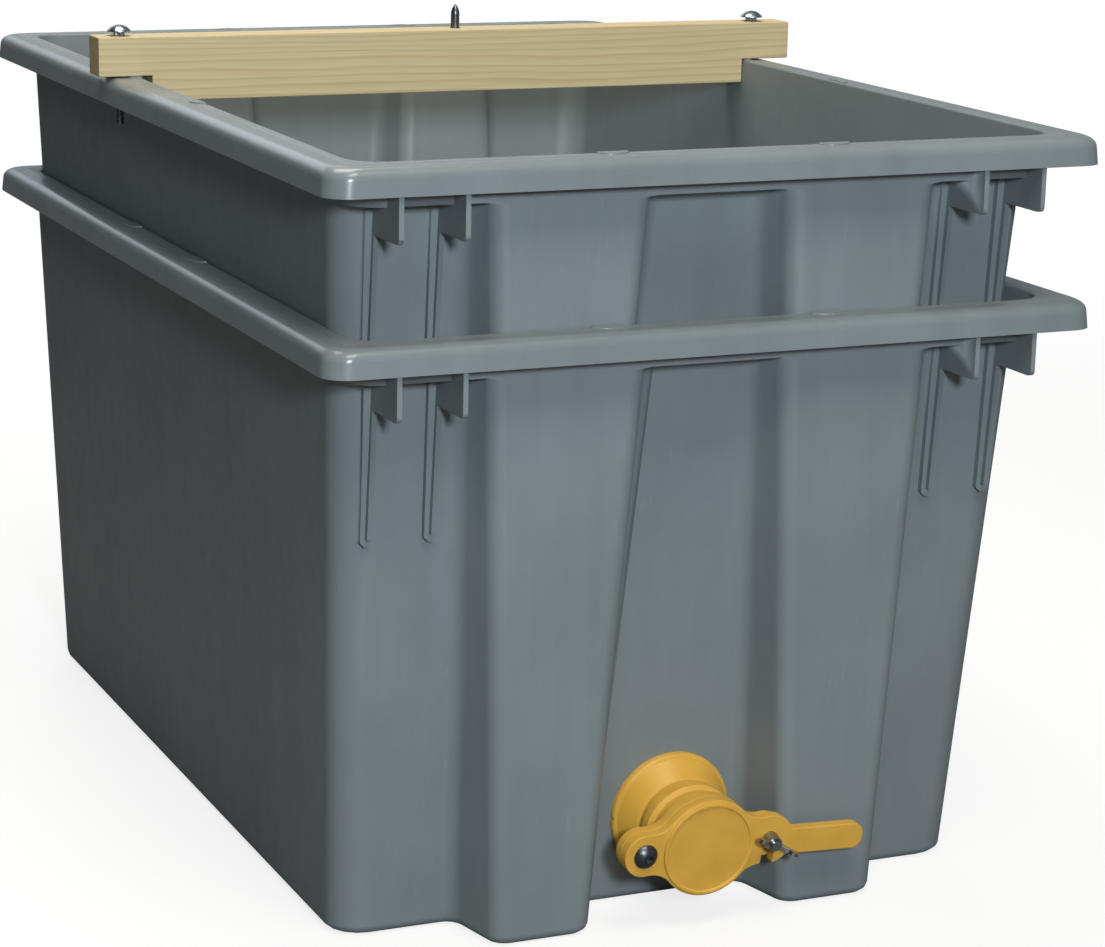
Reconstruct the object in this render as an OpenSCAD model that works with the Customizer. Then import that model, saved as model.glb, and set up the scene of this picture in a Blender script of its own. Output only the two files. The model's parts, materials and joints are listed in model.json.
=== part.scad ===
// Uncapping tank: two nest-and-stack tubs, the upper one a strainer with a crossbar for the comb frames,
// the lower one a honey sump with a swinging gate. Millimetres, +Z up, origin on the floor under the
// middle of the rim, front end towards -Y.

/* [Tubs] */
// Outside width of the rim at the foot of its skirt
rim_w = 402; // [378:1:428]
// Outside length of the rim at the foot of its skirt
rim_l = 597; // [570:1:630]
// Height of one tub
tub_h = 306; // [290:1:325]
// Thickness of the walls
wall_t = 2.5; // [2:0.1:3]
// Thickness of the floor
floor_t = 3; // [2.5:0.1:4]
// Draft of the side walls and of the end columns, in degrees
draft = 2.2; // [2:0.1:2.6]
// Sideways room between the nested walls
nest_gap = 0.61; // [0.4:0.01:0.9]
// Plan radius of the body's corners
body_corner = 16; // [10:1:20]
// Radius of the edge round the floor
floor_edge = 5; // [3:0.5:7]

/* [Rim] */
// How far the rim stands out past the side walls
over_side = 17.3; // [15:0.1:19]
// How far the rim stands out past the end columns
over_end = 16.3; // [14:0.1:19]
// Height of the skirt that hangs from the rim
skirt_h = 13.5; // [11:0.5:16]
// Thickness of the skirt
skirt_t = 2.2; // [1.8:0.1:2.6]
// Outward flare of the skirt, in degrees
skirt_flare = 5; // [2:1:10]
// Thickness of the flat of the rim
rim_t = 2.8; // [2.2:0.1:3.4]
// Radius of the rim's outer top edge
rim_edge = 6; // [4:0.5:6.5]
// Plan radius of the rim's corners
rim_corner = 13; // [10:1:18]
// Bevel of the rim's inner top edge
lip = 1; // [0.5:0.1:1.5]
// Length of a lid nub along the rim
nub_l = 17; // [14:1:26]
// Width of a lid nub across the rim
nub_w = 6; // [4:0.5:7]
// Height of a lid nub
nub_h = 0.7; // [0.5:0.1:1.2]
// Distance of each lid nub from the middle of its side
nub_at = 57.5; // [50:0.5:62]

/* [End walls] */
// Depth of the stacking ledge below the rim
ledge_drop = 22; // [20:0.5:26]
// Rise of the ledge from the panel to the band under the rim
ledge_rise = 1.5; // [1:0.1:2.5]
// Depth of the recessed panels behind the columns, at the ledge
recess = 21.8; // [18:0.1:25]
// Draft of the recessed panels, in degrees
panel_draft = 5.25; // [4:0.05:6]
// Inner edge of a column from the middle line, at the ledge
col_in_top = 37.5; // [34:0.5:40]
// Outer edge of a column from the middle line, at the ledge
col_out_top = 114; // [108:0.5:116]
// Inner edge of a column from the middle line, at the floor
col_in_floor = 53.5; // [52:0.5:57]
// Outer edge of a column from the middle line, at the floor
col_out_floor = 103.5; // [98:0.5:106]
// Sideways run of a column's flank from its face to the panel
flank = 8; // [6:0.5:9]
// Length of the curve on each side of a column's edges
soft = 7; // [4:0.5:8]

/* [Nest ribs] */
// Thickness of the gussets and of the fins below them
fin_t = 2.4; // [2:0.1:3]
// Depth of a gusset below the foot of the skirt
gusset_drop = 22; // [18:0.5:26]
// Radius of a gusset's free corner
gusset_r = 3; // [2:0.5:5]
// Reach of a fin from its panel
fin_h = 6.4; // [5.8:0.1:8]
// Depth of the point below a fin's foot
fin_point = 4; // [2:0.5:6]
// Width of the flat strip under a fin at the ledge
strip_w_top = 9.6; // [8:0.2:11]
// Width of the flat strip under a fin at its foot
strip_w_foot = 7; // [5:0.2:8]
// Height of the flat strip
strip_h = 3.4; // [2:0.1:4.5]
// Distance between the two ribs of a front pair
rib_pitch = 32; // [28:0.5:34]
// Distance between the two ribs of a back pair
rib_pitch_back = 26; // [22:0.5:28]
// Middle of the front pair of ribs from the middle line
rib_front = 150; // [148:0.5:153]
// Middle of the back pair of ribs from the middle line
rib_back = 78.5; // [76:0.25:81]
// Height of a rib's foot above the ledge that it rests on
rib_clear = 0.2; // [0.1:0.05:0.4]

/* [Strainer] */
// Diameter of the drain holes in the upper tub's floor
drain_d = 9; // [6:0.5:12]
// Distance from the walls, at the floor, to the outer rows of drain holes
drain_edge = 33; // [26:0.5:48]
// Drain holes across the tub
drain_nx = 8; // [4:1:8]
// Drain holes along the tub
drain_ny = 11; // [5:1:11]

/* [Crossbar] */
// Thickness of the crossbar along the tub
bar_t = 19; // [16:0.5:24]
// Height of the crossbar
bar_h = 34.5; // [32:0.5:40]
// Depth of the notch at each end
notch_h = 13.5; // [10:0.5:16]
// How far the crossbar reaches past the rim at each side
bar_over = 7; // [4:0.5:16]
// Least room between a notch and the inside of the tub
notch_gap = 0.5; // [0.5:0.5:3]
// Distance of the crossbar's middle to the right of the middle line
bar_x = 3; // [-4:0.5:4]
// Distance of the crossbar's middle behind the middle of the tub
bar_y = 61.5; // [58:0.5:66]
// Diameter of the frame spike
spike_d = 4.8; // [4:0.1:6]
// Length of the spike above the crossbar
spike_up = 13.5; // [10:0.5:20]
// Length of the spike's point
spike_point = 6; // [4:0.5:8]
// Diameter of the spike's head
spike_head_d = 10; // [8:0.5:12]
// Thickness of the spike's head
spike_head_t = 2; // [1.5:0.1:3]
// Distance of the spike to the right of the crossbar's middle
spike_x = 1; // [-10:0.5:10]
// Extra diameter of the spike's shank in the wood
shank_extra = 0.6; // [0.4:0.1:1]
// Height of the shank's shoulder above the wood
shank_up = 0.5; // [0.3:0.1:1]

/* [Bolts] */
// Thread diameter of every bolt
bolt_d = 5; // [4:0.5:5]
// Length of a carriage bolt under its head
bolt_l = 50; // [46:1:56]
// Diameter of a carriage bolt's head
bolt_head_d = 13.2; // [11:0.1:15]
// Height of a carriage bolt's head
bolt_head_h = 3.6; // [3:0.1:5]
// Length of the square neck
neck_l = 4; // [3:0.1:5]
// Part of the neck that stands above the wood
neck_up = 2.4; // [0.5:0.1:2.6]
// Outside diameter of a washer
washer_d = 9; // [8:0.1:9]
// Thickness of a washer
washer_t = 1; // [0.8:0.1:1.4]
// Width of the nuts across their flats
nut_af = 8; // [7:0.1:8]
// Height of the nuts
nut_h = 4; // [3:0.1:5]
// Play of a bolt in the holes it passes
bolt_play = 0.4; // [0.2:0.05:0.6]
// Play of a shaft in a turning or threaded hole, all round
run_fit = 0.05; // [0.02:0.01:0.1]

/* [Gate] */
// Height of the gate above the floor, on the wall
gate_z = 46.5; // [44:0.5:52]
// Distance of the gate to the right of the middle line
gate_x = 3.5; // [-4:0.5:4]
// Diameter of the waterway
way_d = 34; // [28:0.5:36]
// Diameter of the threaded tail through the wall
tail_d = 42; // [40:0.5:44]
// Length of the tail inside the wall's outer face
tail_l = 18; // [16:0.5:24]
// Diameter of the flange against the wall
flange_d = 64; // [58:0.5:66]
// Height of the flange's edge
flange_lip = 4; // [3:0.5:5]
// Radius of the flange's edge
flange_edge = 2; // [1:0.1:2.5]
// Depth of the flange's cone to the neck
cone_l = 13; // [10:0.5:16]
// Diameter of the neck
neck_d = 45; // [44:0.5:48]
// Distance from the wall to the back of the seat plate
neck_out = 35; // [30:0.5:40]
// Height of the collar round the middle of the neck
collar_h = 2; // [1:0.1:2.5]
// Width of the collar along the neck
collar_w = 5; // [3:0.5:6]
// Thickness of the seat plate
seat_t = 5.5; // [4:0.5:7]
// Step from the collar behind the seat plate to the plate's edge
seat_step = 1; // [0.5:0.1:2]
// Diameter of the seat plate and of the flap's disc
disc_d = 51; // [48:0.5:54]
// Distance of each ear from the gate's axis
ear_at = 34; // [33:0.25:38]
// Radius of the ears
ear_r = 11; // [9:0.25:12]
// Radius of the hollow between an ear and the disc
ear_hollow = 14; // [10:0.5:18]
// Thickness of the gasket
gasket_t = 2.5; // [1.5:0.1:3.5]
// Width of the lock nut across its flats
lock_af = 56; // [52:0.5:60]
// Height of the lock nut
lock_h = 9; // [6:0.5:11]
// Play of the tail in the wall, the gasket and the lock nut
tail_play = 0.3; // [0.1:0.05:0.5]
// Gap between faces that slide on each other
slide_gap = 0.1; // [0.05:0.01:0.2]

/* [Flap] */
// Thickness of the flap
flap_t = 5.5; // [4:0.5:7]
// Outside diameter of the raised ring
ring_d = 48.5; // [42:0.5:50]
// Width of the raised ring
ring_w = 1.8; // [1.2:0.1:4]
// Height of the raised ring
ring_h = 1.6; // [1:0.1:3]
// Depth of the dish inside the ring
dish = 0.9; // [0.5:0.1:1.4]
// Radius of the arm over the clamp bolt
arm_r = 13; // [11:0.25:14]
// Reach of the handle from the gate's axis
handle_out = 87; // [70:0.5:95]
// Width of the handle
handle_w = 13.5; // [12.5:0.5:16]
// Radius of the handle's corners
handle_r = 6; // [3:0.5:6]
// Droop of the handle, in degrees
handle_droop = 3; // [0:0.5:5]
// Play of the clamp bolt in the flap's slot, all round
slot_play = 0.8; // [0.5:0.1:1.2]
// Diameter of the pivot screw's head
pivot_head_d = 13; // [11:0.1:15]
// Height of the pivot screw's head
pivot_head_h = 3.6; // [2.5:0.1:4.5]

/* [Wing nut] */
// Diameter of the hub at its foot
hub_d = 9.5; // [8:0.5:11]
// Diameter of the hub at its top
hub_top_d = 7.5; // [7:0.5:8]
// Height of the hub
hub_h = 6; // [4:0.5:8]
// Distance of a wing's tip from the axis
wing_out = 9.6; // [8:0.1:11]
// Height of a wing's tip above the flap
wing_up = 9; // [7:0.1:11]
// Radius of a wing's tip
wing_r = 2.8; // [2:0.1:3.5]
// Height of a wing's foot above the flap
wing_foot = 1; // [0.5:0.1:2]
// Thickness of a wing
wing_t = 2; // [1.5:0.1:3]
// Turn of the wings from level, in degrees
wing_turn = -26; // [-90:1:90]
// Length of the clamp bolt past the hub
clamp_past = 2; // [1:0.5:4]

/* [Hidden] */
tub_grey = "#717c80";
gate_yellow = "#d6a53c";
pine = "#cdb98e";
zinc = "#b4b8bb";
dark_steel = "#45474a";
black_rubber = "#1e1f20";
$fn = 64;
eps = 0.01;
// Length by which a cut runs past the face that it opens
past = 1;
// Steps of each rounded corner in plan, and the angle of one step of each rounded edge
corner_steps = 4;
edge_step = 30;
rim_step = 15;
// Width of the floor that belongs to the shell
floor_lap = 6;
// Largest part of a side that one corner's curve may take
curve_share = 0.45;

// Levels of one tub
skirt_z = tub_h - skirt_h;
flange_z = tub_h - rim_t;
ledge_z = tub_h - ledge_drop;
gusset_z = skirt_z - gusset_drop;
half_t = wall_t / 2;
inner_edge = floor_edge;

// The draft sets how far one tub sinks into the other before the walls would meet
nest_z = (wall_t + nest_gap) / tan(draft);
rib_z = ledge_z + ledge_rise + wall_t + rib_clear - nest_z;

// Half width of the body, reach of the end columns and reach of the recessed panels at a height
function half_w(z) = rim_w / 2 - over_side - (skirt_z - z) * tan(draft);
function col_y(z) = rim_l / 2 - over_end - (skirt_z - z) * tan(draft);
function panel_y(z) = col_y(ledge_z) - recess - (ledge_z - z) * tan(panel_draft);
function mix(a, b, k) = a + (b - a) * k;
// Inner and outer edge of a front column, which widens upwards, and of a back recess, which narrows
function col_in(z) = mix(col_in_floor, col_in_top, z / ledge_z);
function col_out(z) = mix(col_out_floor, col_out_top, z / ledge_z);
function recess_in(z) = mix(col_in_top, col_in_floor, z / ledge_z);
function recess_out(z) = mix(col_out_top, col_out_floor, z / ledge_z);

// Corners of a tub's plan, anticlockwise from the front left. The front end has two columns (reach y_out)
// between three recesses (reach y_in). The back end has recesses where the front has columns, so that a
// tub turned end for end stands on the ledges of the one below.
function plan(hw, y_out, y_in, z) =
    let (xf = [col_out(z) + flank, col_out(z), col_in(z), col_in(z) - flank])
    let (xb = [recess_out(z) + flank, recess_out(z), recess_in(z), recess_in(z) - flank])
    let (front = [-y_in, -y_out, -y_out, -y_in])
    let (back = [y_out, y_in, y_in, y_out])
    concat(
        [[-hw, -y_in]],
        [for (i = [0:3]) [-xf[i], front[i]]],
        [for (i = [3:-1:0]) [xf[i], front[i]]],
        [[hw, -y_in], [hw, y_out]],
        [for (i = [0:3]) [xb[i], back[i]]],
        [for (i = [3:-1:0]) [-xb[i], back[i]]],
        [[-hw, y_out]]
    );

// A plan with every side moved inwards by t
function unit(v) = v / norm(v);
function inward(a, b) = let (d = unit(b - a)) [-d[1], d[0]];
function inset(p, t) =
    let (n = len(p))
    [for (i = [0:n - 1])
        let (u = inward(p[(i + n - 1) % n], p[i]))
        let (v = inward(p[i], p[(i + 1) % n]))
        p[i] + t * (u + v) / (1 + u * v)];

// A plan with every corner rounded by a circular arc, written as a conic. The four outer corners have the
// index 0, 9, 10 and 19 and take their own radius; the rest start their curve at the length soft.
function arc_point(a, b, c, w, k) =
    ((1 - k) * (1 - k) * a + 2 * w * k * (1 - k) * b + k * k * c)
    / ((1 - k) * (1 - k) + 2 * w * k * (1 - k) + k * k);
function is_outer(i) = i == 0 || i == 9 || i == 10 || i == 19;
function rounded(p, corner) =
    let (n = len(p))
    [for (i = [0:n - 1])
        let (u = unit(p[(i + n - 1) % n] - p[i]))
        let (v = unit(p[(i + 1) % n] - p[i]))
        let (room = min(norm(p[(i + n - 1) % n] - p[i]), norm(p[(i + 1) % n] - p[i])))
        let (run = min(is_outer(i) ? corner : soft, curve_share * room))
        let (w = sqrt((1 - u * v) / 2))
        for (k = [0:corner_steps])
            arc_point(p[i] + run * u, p[i], p[i] + run * v, w, k / corner_steps)];

// Rings of points that the shell of a tub passes through
function lift(p, z) = [for (q = p) [q[0], q[1], z]];
function body_ring(z, t) =
    lift(rounded(inset(plan(half_w(z), col_y(z), panel_y(z), z), t), body_corner), z);
function band_ring(z, t) =
    lift(rounded(inset(plan(half_w(z), col_y(z), col_y(z), ledge_z), t), body_corner), z);
function rim_ring(z, t) =
    lift(rounded(plan(rim_w / 2 - t, rim_l / 2 - t, rim_l / 2 - t, ledge_z), rim_corner), z);
function flare(z) = (z - skirt_z) * tan(skirt_flare);

// From under the floor, up the wall outside, out under the rim, round the skirt, over the top and down the
// inside on to the floor. The middle of the floor is a plate that laps half of the first and last bands.
tub_rings = concat(
    [body_ring(0, floor_edge + floor_lap)],
    [for (a = [0:edge_step:90]) body_ring(floor_edge * (1 - cos(a)), floor_edge * (1 - sin(a)))],
    [body_ring(ledge_z, 0)],
    [band_ring(ledge_z + ledge_rise, 0)],
    [band_ring(flange_z, 0)],
    [rim_ring(flange_z, skirt_t + flare(flange_z))],
    [rim_ring(skirt_z, skirt_t)],
    [rim_ring(skirt_z, 0)],
    [for (a = [0:rim_step:90])
        rim_ring(tub_h - rim_edge * (1 - sin(a)), flare(tub_h - rim_edge) + rim_edge * (1 - cos(a)))],
    [band_ring(tub_h, wall_t - lip)],
    [band_ring(tub_h - lip, wall_t)],
    [band_ring(ledge_z + ledge_rise + wall_t, wall_t)],
    [body_ring(ledge_z + wall_t, wall_t)],
    [for (a = [90:-edge_step:0])
        body_ring(floor_t + inner_edge * (1 - cos(a)), wall_t + inner_edge * (1 - sin(a)))],
    [body_ring(floor_t, wall_t + inner_edge + floor_lap)]
);

// Solid skin over a list of rings with the same number of points, the last joined to the first again
module skin(rings) {
    n = len(rings[0]);
    m = len(rings);
    sides = [for (j = [0:m - 1]) for (i = [0:n - 1])
        let (k = (i + 1) % n)
        let (up = (j + 1) % m)
        each [[j * n + i, up * n + i, up * n + k], [j * n + i, up * n + k, j * n + k]]];
    polyhedron(points = [for (r = rings) each r], faces = sides, convexity = 12);
}

// A profile of reach and height, as a plate across the tub
module plate(t) {
    rotate([90, 0, 90])
        linear_extrude(height = t, center = true)
            children();
}

// Gusset between a panel, its ledge, the rim and the skirt
module gusset() {
    front = rim_l / 2 - skirt_t;
    plate(fin_t)
        union() {
            polygon([
                [panel_y(gusset_z) - half_t, gusset_z],
                [front - gusset_r, gusset_z],
                [front, gusset_z + gusset_r],
                [front, flange_z + half_t],
                [col_y(flange_z) - half_t, flange_z + half_t],
                [col_y(ledge_z) - half_t, ledge_z + ledge_rise + half_t],
                [panel_y(ledge_z) - half_t, ledge_z + half_t]
            ]);
            translate([front - gusset_r, gusset_z + gusset_r])
                circle(r = gusset_r);
        }
}

// Fin below a gusset. Its foot stands on the ledge of the tub below.
module fin() {
    plate(fin_t)
        polygon([
            [panel_y(rib_z - fin_point) - half_t, rib_z - fin_point],
            [panel_y(rib_z - fin_point), rib_z - fin_point],
            [panel_y(rib_z) + fin_h / 2, rib_z],
            [panel_y(rib_z) + fin_h, rib_z],
            [panel_y(gusset_z) + fin_h, gusset_z + gusset_r],
            [panel_y(gusset_z) - half_t, gusset_z + gusset_r]
        ]);
}

// Flat strip on the panel behind a fin, pointed at its foot
module strip() {
    rise = (ledge_z - rib_z) / cos(panel_draft);
    chamfer = strip_w_foot / 3;
    translate([0, panel_y(rib_z), rib_z])
        rotate([90 + panel_draft, 0, 180])
            translate([0, 0, -half_t])
                linear_extrude(height = half_t + strip_h)
                    polygon([
                        [-strip_w_top / 2, rise],
                        [-strip_w_foot / 2, chamfer - fin_point],
                        [-strip_w_foot / 6, -fin_point],
                        [strip_w_foot / 6, -fin_point],
                        [strip_w_foot / 2, chamfer - fin_point],
                        [strip_w_top / 2, rise]
                    ]);
}

// Low lug on the inner edge of the rim that locates a lid, drawn on the +X side
module rim_nub(edge) {
    r = (nub_l * nub_l / 4 + nub_w * nub_w) / (2 * nub_w);
    intersection() {
        translate([edge + nub_w - r, 0, tub_h - half_t])
            cylinder(r = r, h = half_t + nub_h);
        translate([edge, -nub_l, 0])
            cube([nub_w, 2 * nub_l, 2 * tub_h]);
    }
}

// One tub, without the holes that its use needs
module tub() {
    side_edge = half_w(tub_h) - wall_t + lip;
    end_edge = col_y(tub_h) - wall_t + lip;
    skin(tub_rings);
    linear_extrude(height = floor_t)
        polygon([for (q = body_ring(0, floor_edge + floor_lap / 2)) [q[0], q[1]]]);
    for (side = [-1, 1], step = [-1, 1]) {
        at = [side * (rib_front + step * rib_pitch / 2), side * (rib_back + step * rib_pitch_back / 2)];
        translate([at[0], 0, 0])
            mirror([0, 1, 0]) {
                gusset();
                fin();
                strip();
            }
        translate([at[1], 0, 0]) {
            gusset();
            fin();
            strip();
        }
    }
    for (turn = [0, 180], at = [-nub_at, nub_at]) {
        rotate([0, 0, turn])
            translate([0, at, 0])
                rim_nub(side_edge);
        rotate([0, 0, turn + 90])
            translate([0, at, 0])
                rim_nub(end_edge);
    }
}

// Gate frame: origin where the gate's axis meets the wall, X to the right, Y up the wall, Z out of the wall
module at_gate(out) {
    translate([gate_x, -panel_y(gate_z), gate_z])
        rotate([90 + panel_draft, 0, 0])
            translate([0, 0, out])
                children();
}
way_r = way_d / 2;
tail_r = tail_d / 2;
neck_r = neck_d / 2;
disc_r = disc_d / 2;
bolt_r = bolt_d / 2;
seat_out = neck_out + seat_t;
collar_out = (cone_l + neck_out - seat_t - collar_w + collar_h) / 2;
flap_out = seat_out + slide_gap;
face_out = flap_out + flap_t;

module lower_tub() {
    color(tub_grey)
        difference() {
            tub();
            at_gate(-2 * wall_t)
                cylinder(r = tail_r + tail_play, h = 3 * wall_t);
        }
}

// Disc with a rounded ear at x = at, joined by hollow curves that touch both circles
module eared(at, r) {
    reach = abs(at);
    near = disc_r + ear_hollow;
    far = r + ear_hollow;
    x = (reach * reach + near * near - far * far) / (2 * reach);
    y = sqrt(near * near - x * x);
    side = sign(at);
    circle(r = disc_r);
    translate([at, 0])
        circle(r = r);
    difference() {
        polygon([[0, 0], [side * x, y], [at, 0], [side * x, -y]]);
        for (s = [-1, 1])
            translate([side * x, s * y])
                circle(r = ear_hollow);
    }
}

module gate_body() {
    rim = disc_r - seat_step;
    flange_r = flange_d / 2 - flange_edge;
    color(gate_yellow)
        at_gate(slide_gap)
            difference() {
                union() {
                    rotate_extrude()
                        polygon(concat(
                            [[way_r - past, -tail_l], [tail_r, -tail_l], [tail_r, 0], [flange_d / 2, 0]],
                            [for (a = [0:edge_step:90])
                                [flange_r, flange_lip - flange_edge] + flange_edge * [cos(a), sin(a)]],
                            [[neck_r + collar_h, cone_l - collar_h / 2], [neck_r, cone_l + collar_h / 2]],
                            [[neck_r, collar_out - collar_h], [neck_r + collar_h, collar_out]],
                            [[neck_r + collar_h, collar_out + collar_w]],
                            [[neck_r, collar_out + collar_w + collar_h], [neck_r, neck_out - seat_t]],
                            [[rim, neck_out - seat_t / 2], [rim, neck_out + seat_t / 2]],
                            [[way_r - past, neck_out + seat_t / 2]]
                        ));
                    translate([0, 0, neck_out - slide_gap])
                        linear_extrude(height = seat_t) {
                            eared(ear_at, ear_r);
                            eared(-ear_at, ear_r);
                        }
                }
                translate([0, 0, -tail_l - past])
                    cylinder(r = way_r, h = tail_l + seat_out + 2 * past);
                for (side = [-1, 1])
                    translate([side * ear_at, 0, 0])
                        cylinder(r = bolt_r + run_fit, h = 2 * seat_out);
            }
}

module gate_gasket() {
    color(black_rubber)
        at_gate(-wall_t - gasket_t)
            difference() {
                cylinder(d = lock_af, h = gasket_t);
                translate([0, 0, -eps])
                    cylinder(r = tail_r + tail_play, h = gasket_t + 2 * eps);
            }
}

module gate_lock_nut() {
    color(gate_yellow)
        at_gate(-wall_t - gasket_t - lock_h)
            difference() {
                cylinder(d = lock_af / cos(30), h = lock_h, $fn = 6);
                translate([0, 0, -eps])
                    cylinder(r = tail_r + run_fit, h = lock_h + 2 * eps);
            }
}

// Domed head, foot on the plane z = 0
module dome(d, h) {
    r = (d * d / 4 + h * h) / (2 * h);
    intersection() {
        translate([0, 0, h - r])
            sphere(r = r);
        cylinder(d = d, h = h);
    }
}

// Hexagon with a width across its flats, foot on the plane z = 0
module hexagon(af, h) {
    cylinder(d = af / cos(30), h = h, $fn = 6);
}

module hex_nut() {
    difference() {
        hexagon(nut_af, nut_h);
        translate([0, 0, -eps])
            cylinder(r = bolt_r + run_fit, h = nut_h + 2 * eps);
    }
}

module pivot_screw() {
    color(dark_steel)
        translate_gate(-ear_at, 0) {
            translate([0, 0, face_out + slide_gap])
                dome(pivot_head_d, pivot_head_h);
            translate([0, 0, neck_out - nut_h - past])
                cylinder(r = bolt_r, h = face_out + slide_gap - neck_out + nut_h + past + eps);
        }
}

module translate_gate(x, y) {
    at_gate(0)
        translate([x, y, 0])
            children();
}

module pivot_nut() {
    color(zinc)
        translate_gate(-ear_at, 0)
            translate([0, 0, neck_out - nut_h])
                hex_nut();
}

module clamp_bolt() {
    color(zinc)
        translate_gate(ear_at, 0) {
            translate([0, 0, neck_out - nut_h])
                hexagon(nut_af, nut_h);
            translate([0, 0, neck_out - nut_h / 2])
                cylinder(r = bolt_r, h = face_out + hub_h + clamp_past - neck_out + nut_h / 2);
        }
}

// Outline of the flap: disc, pivot ear on the left, arm and handle on the right
module flap_outline() {
    eared(-ear_at, ear_r);
    eared(ear_at, arm_r);
    rotate(-handle_droop)
        translate([ear_at, 0]) {
            length = handle_out - ear_at;
            translate([0, -handle_w / 2])
                square([length - handle_r, handle_w]);
            translate([0, handle_r - handle_w / 2])
                square([length, handle_w - 2 * handle_r]);
            for (side = [-1, 1])
                translate([length - handle_r, side * (handle_w / 2 - handle_r)])
                    circle(r = handle_r);
        }
}

// Slot that lets the arm swing up off the clamp bolt: part of a ring round the pivot, open below
module flap_slot() {
    r = bolt_r + slot_play;
    translate([ear_at, 0])
        circle(r = r);
    translate([-ear_at, 0])
        intersection() {
            difference() {
                circle(r = 2 * ear_at + r, $fn = 128);
                circle(r = 2 * ear_at - r, $fn = 128);
            }
            translate([ear_at, -2 * arm_r])
                square([2 * ear_at, 2 * arm_r]);
        }
}

module gate_flap() {
    color(gate_yellow)
        at_gate(flap_out)
            difference() {
                union() {
                    linear_extrude(height = flap_t)
                        difference() {
                            flap_outline();
                            flap_slot();
                        }
                    cylinder(d = ring_d, h = flap_t + ring_h);
                }
                translate([0, 0, flap_t + ring_h - dish])
                    cylinder(d = ring_d - 2 * ring_w, h = dish + past);
                translate([-ear_at, 0, -past])
                    cylinder(r = bolt_r + run_fit, h = flap_t + ring_h + 2 * past);
            }
}

module wing_nut() {
    color(zinc)
        translate_gate(ear_at, 0)
            translate([0, 0, face_out + slide_gap])
                rotate([0, 0, wing_turn])
                    difference() {
                        union() {
                            cylinder(d1 = hub_d, d2 = hub_top_d, h = hub_h);
                            for (side = [0, 180])
                                rotate([90, 0, side])
                                    linear_extrude(height = wing_t, center = true) {
                                        polygon([
                                            [hub_top_d / 4, wing_foot],
                                            [hub_d / 2, wing_foot],
                                            [wing_out + wing_r, wing_up],
                                            [wing_out - wing_r, wing_up],
                                            [hub_top_d / 4, hub_h]
                                        ]);
                                        translate([wing_out, wing_up])
                                            circle(r = wing_r);
                                    }
                        }
                        translate([0, 0, -past])
                            cylinder(r = bolt_r + run_fit, h = wing_up + wing_r + 2 * past);
                    }
}

// Upper tub
module strainer_tub() {
    color(tub_grey)
        translate([0, 0, nest_z])
            difference() {
                tub();
                for (side = [-1, 1])
                    translate([side * bolt_x, bar_y, flange_z - rim_t])
                        cylinder(r = bolt_r + bolt_play, h = 3 * rim_t);
                for (i = [0:drain_nx - 1], j = [0:drain_ny - 1])
                    translate([
                        drain_x * (2 * i / (drain_nx - 1) - 1),
                        drain_y * (2 * j / (drain_ny - 1) - 1),
                        -floor_t
                    ])
                        cylinder(d = drain_d, h = 3 * floor_t);
            }
}

// Places of the outer rows of drain holes
drain_x = half_w(0) - drain_edge;
drain_y = panel_y(0) - drain_edge;

// The bolts of the crossbar stand in the middle of the channel under the side rims
bolt_x = (half_w(flange_z) + rim_w / 2 - skirt_t - flare(flange_z)) / 2;
seat_z = nest_z + tub_h + nub_h;
bar_top = seat_z + bar_h - notch_h;
bar_foot = bar_top - bar_h;
bar_reach = rim_w / 2 + bar_over;
shoulder = half_w(tub_h) - wall_t - notch_gap - abs(bar_x);
shank_d = spike_d + shank_extra;

module crossbar() {
    color(pine)
        difference() {
            translate([bar_x, bar_y + bar_t / 2, 0])
                rotate([90, 0, 0])
                    linear_extrude(height = bar_t)
                        polygon([
                            [-bar_reach, bar_top],
                            [-bar_reach, seat_z],
                            [-shoulder, seat_z],
                            [-shoulder, bar_foot],
                            [shoulder, bar_foot],
                            [shoulder, seat_z],
                            [bar_reach, seat_z],
                            [bar_reach, bar_top]
                        ]);
            for (side = [-1, 1])
                translate([side * bolt_x, bar_y, 0]) {
                    translate([0, 0, seat_z - past])
                        cylinder(r = bolt_r + bolt_play, h = bar_h);
                    translate([-bolt_r - run_fit, -bolt_r - run_fit, bar_top - neck_l + neck_up - run_fit])
                        cube([bolt_d + 2 * run_fit, bolt_d + 2 * run_fit, neck_l]);
                }
            translate([bar_x + spike_x, bar_y, bar_foot - past]) {
                cylinder(d = shank_d + 2 * run_fit, h = bar_h + 2 * past);
                cylinder(d = spike_head_d + 2 * bolt_play, h = past + spike_head_t + run_fit);
            }
        }
}

module frame_spike() {
    r = spike_d / 2;
    // Bullet point: an arc that leaves the shank without a step
    bend = (spike_point * spike_point + r * r) / (2 * r);
    color(dark_steel)
        translate([bar_x + spike_x, bar_y, 0]) {
            translate([0, 0, bar_foot])
                cylinder(d = spike_head_d, h = spike_head_t);
            translate([0, 0, bar_foot + spike_head_t / 2])
                cylinder(d = shank_d, h = bar_h + shank_up - spike_head_t / 2);
            translate([0, 0, bar_top])
                cylinder(r = r, h = spike_up - spike_point);
            translate([0, 0, bar_top + spike_up - spike_point])
                rotate_extrude()
                    intersection() {
                        translate([r - bend, 0])
                            circle(r = bend, $fn = 96);
                        square([r, spike_point]);
                    }
        }
}

module carriage_bolts() {
    under = bar_top + neck_up;
    color(zinc)
        for (side = [-1, 1])
            translate([side * bolt_x, bar_y, under]) {
                dome(bolt_head_d, bolt_head_h);
                translate([-bolt_r, -bolt_r, -neck_l])
                    cube([bolt_d, bolt_d, neck_l + eps]);
                translate([0, 0, -bolt_l])
                    cylinder(r = bolt_r, h = bolt_l);
            }
}

under_rim = nest_z + flange_z;

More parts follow.
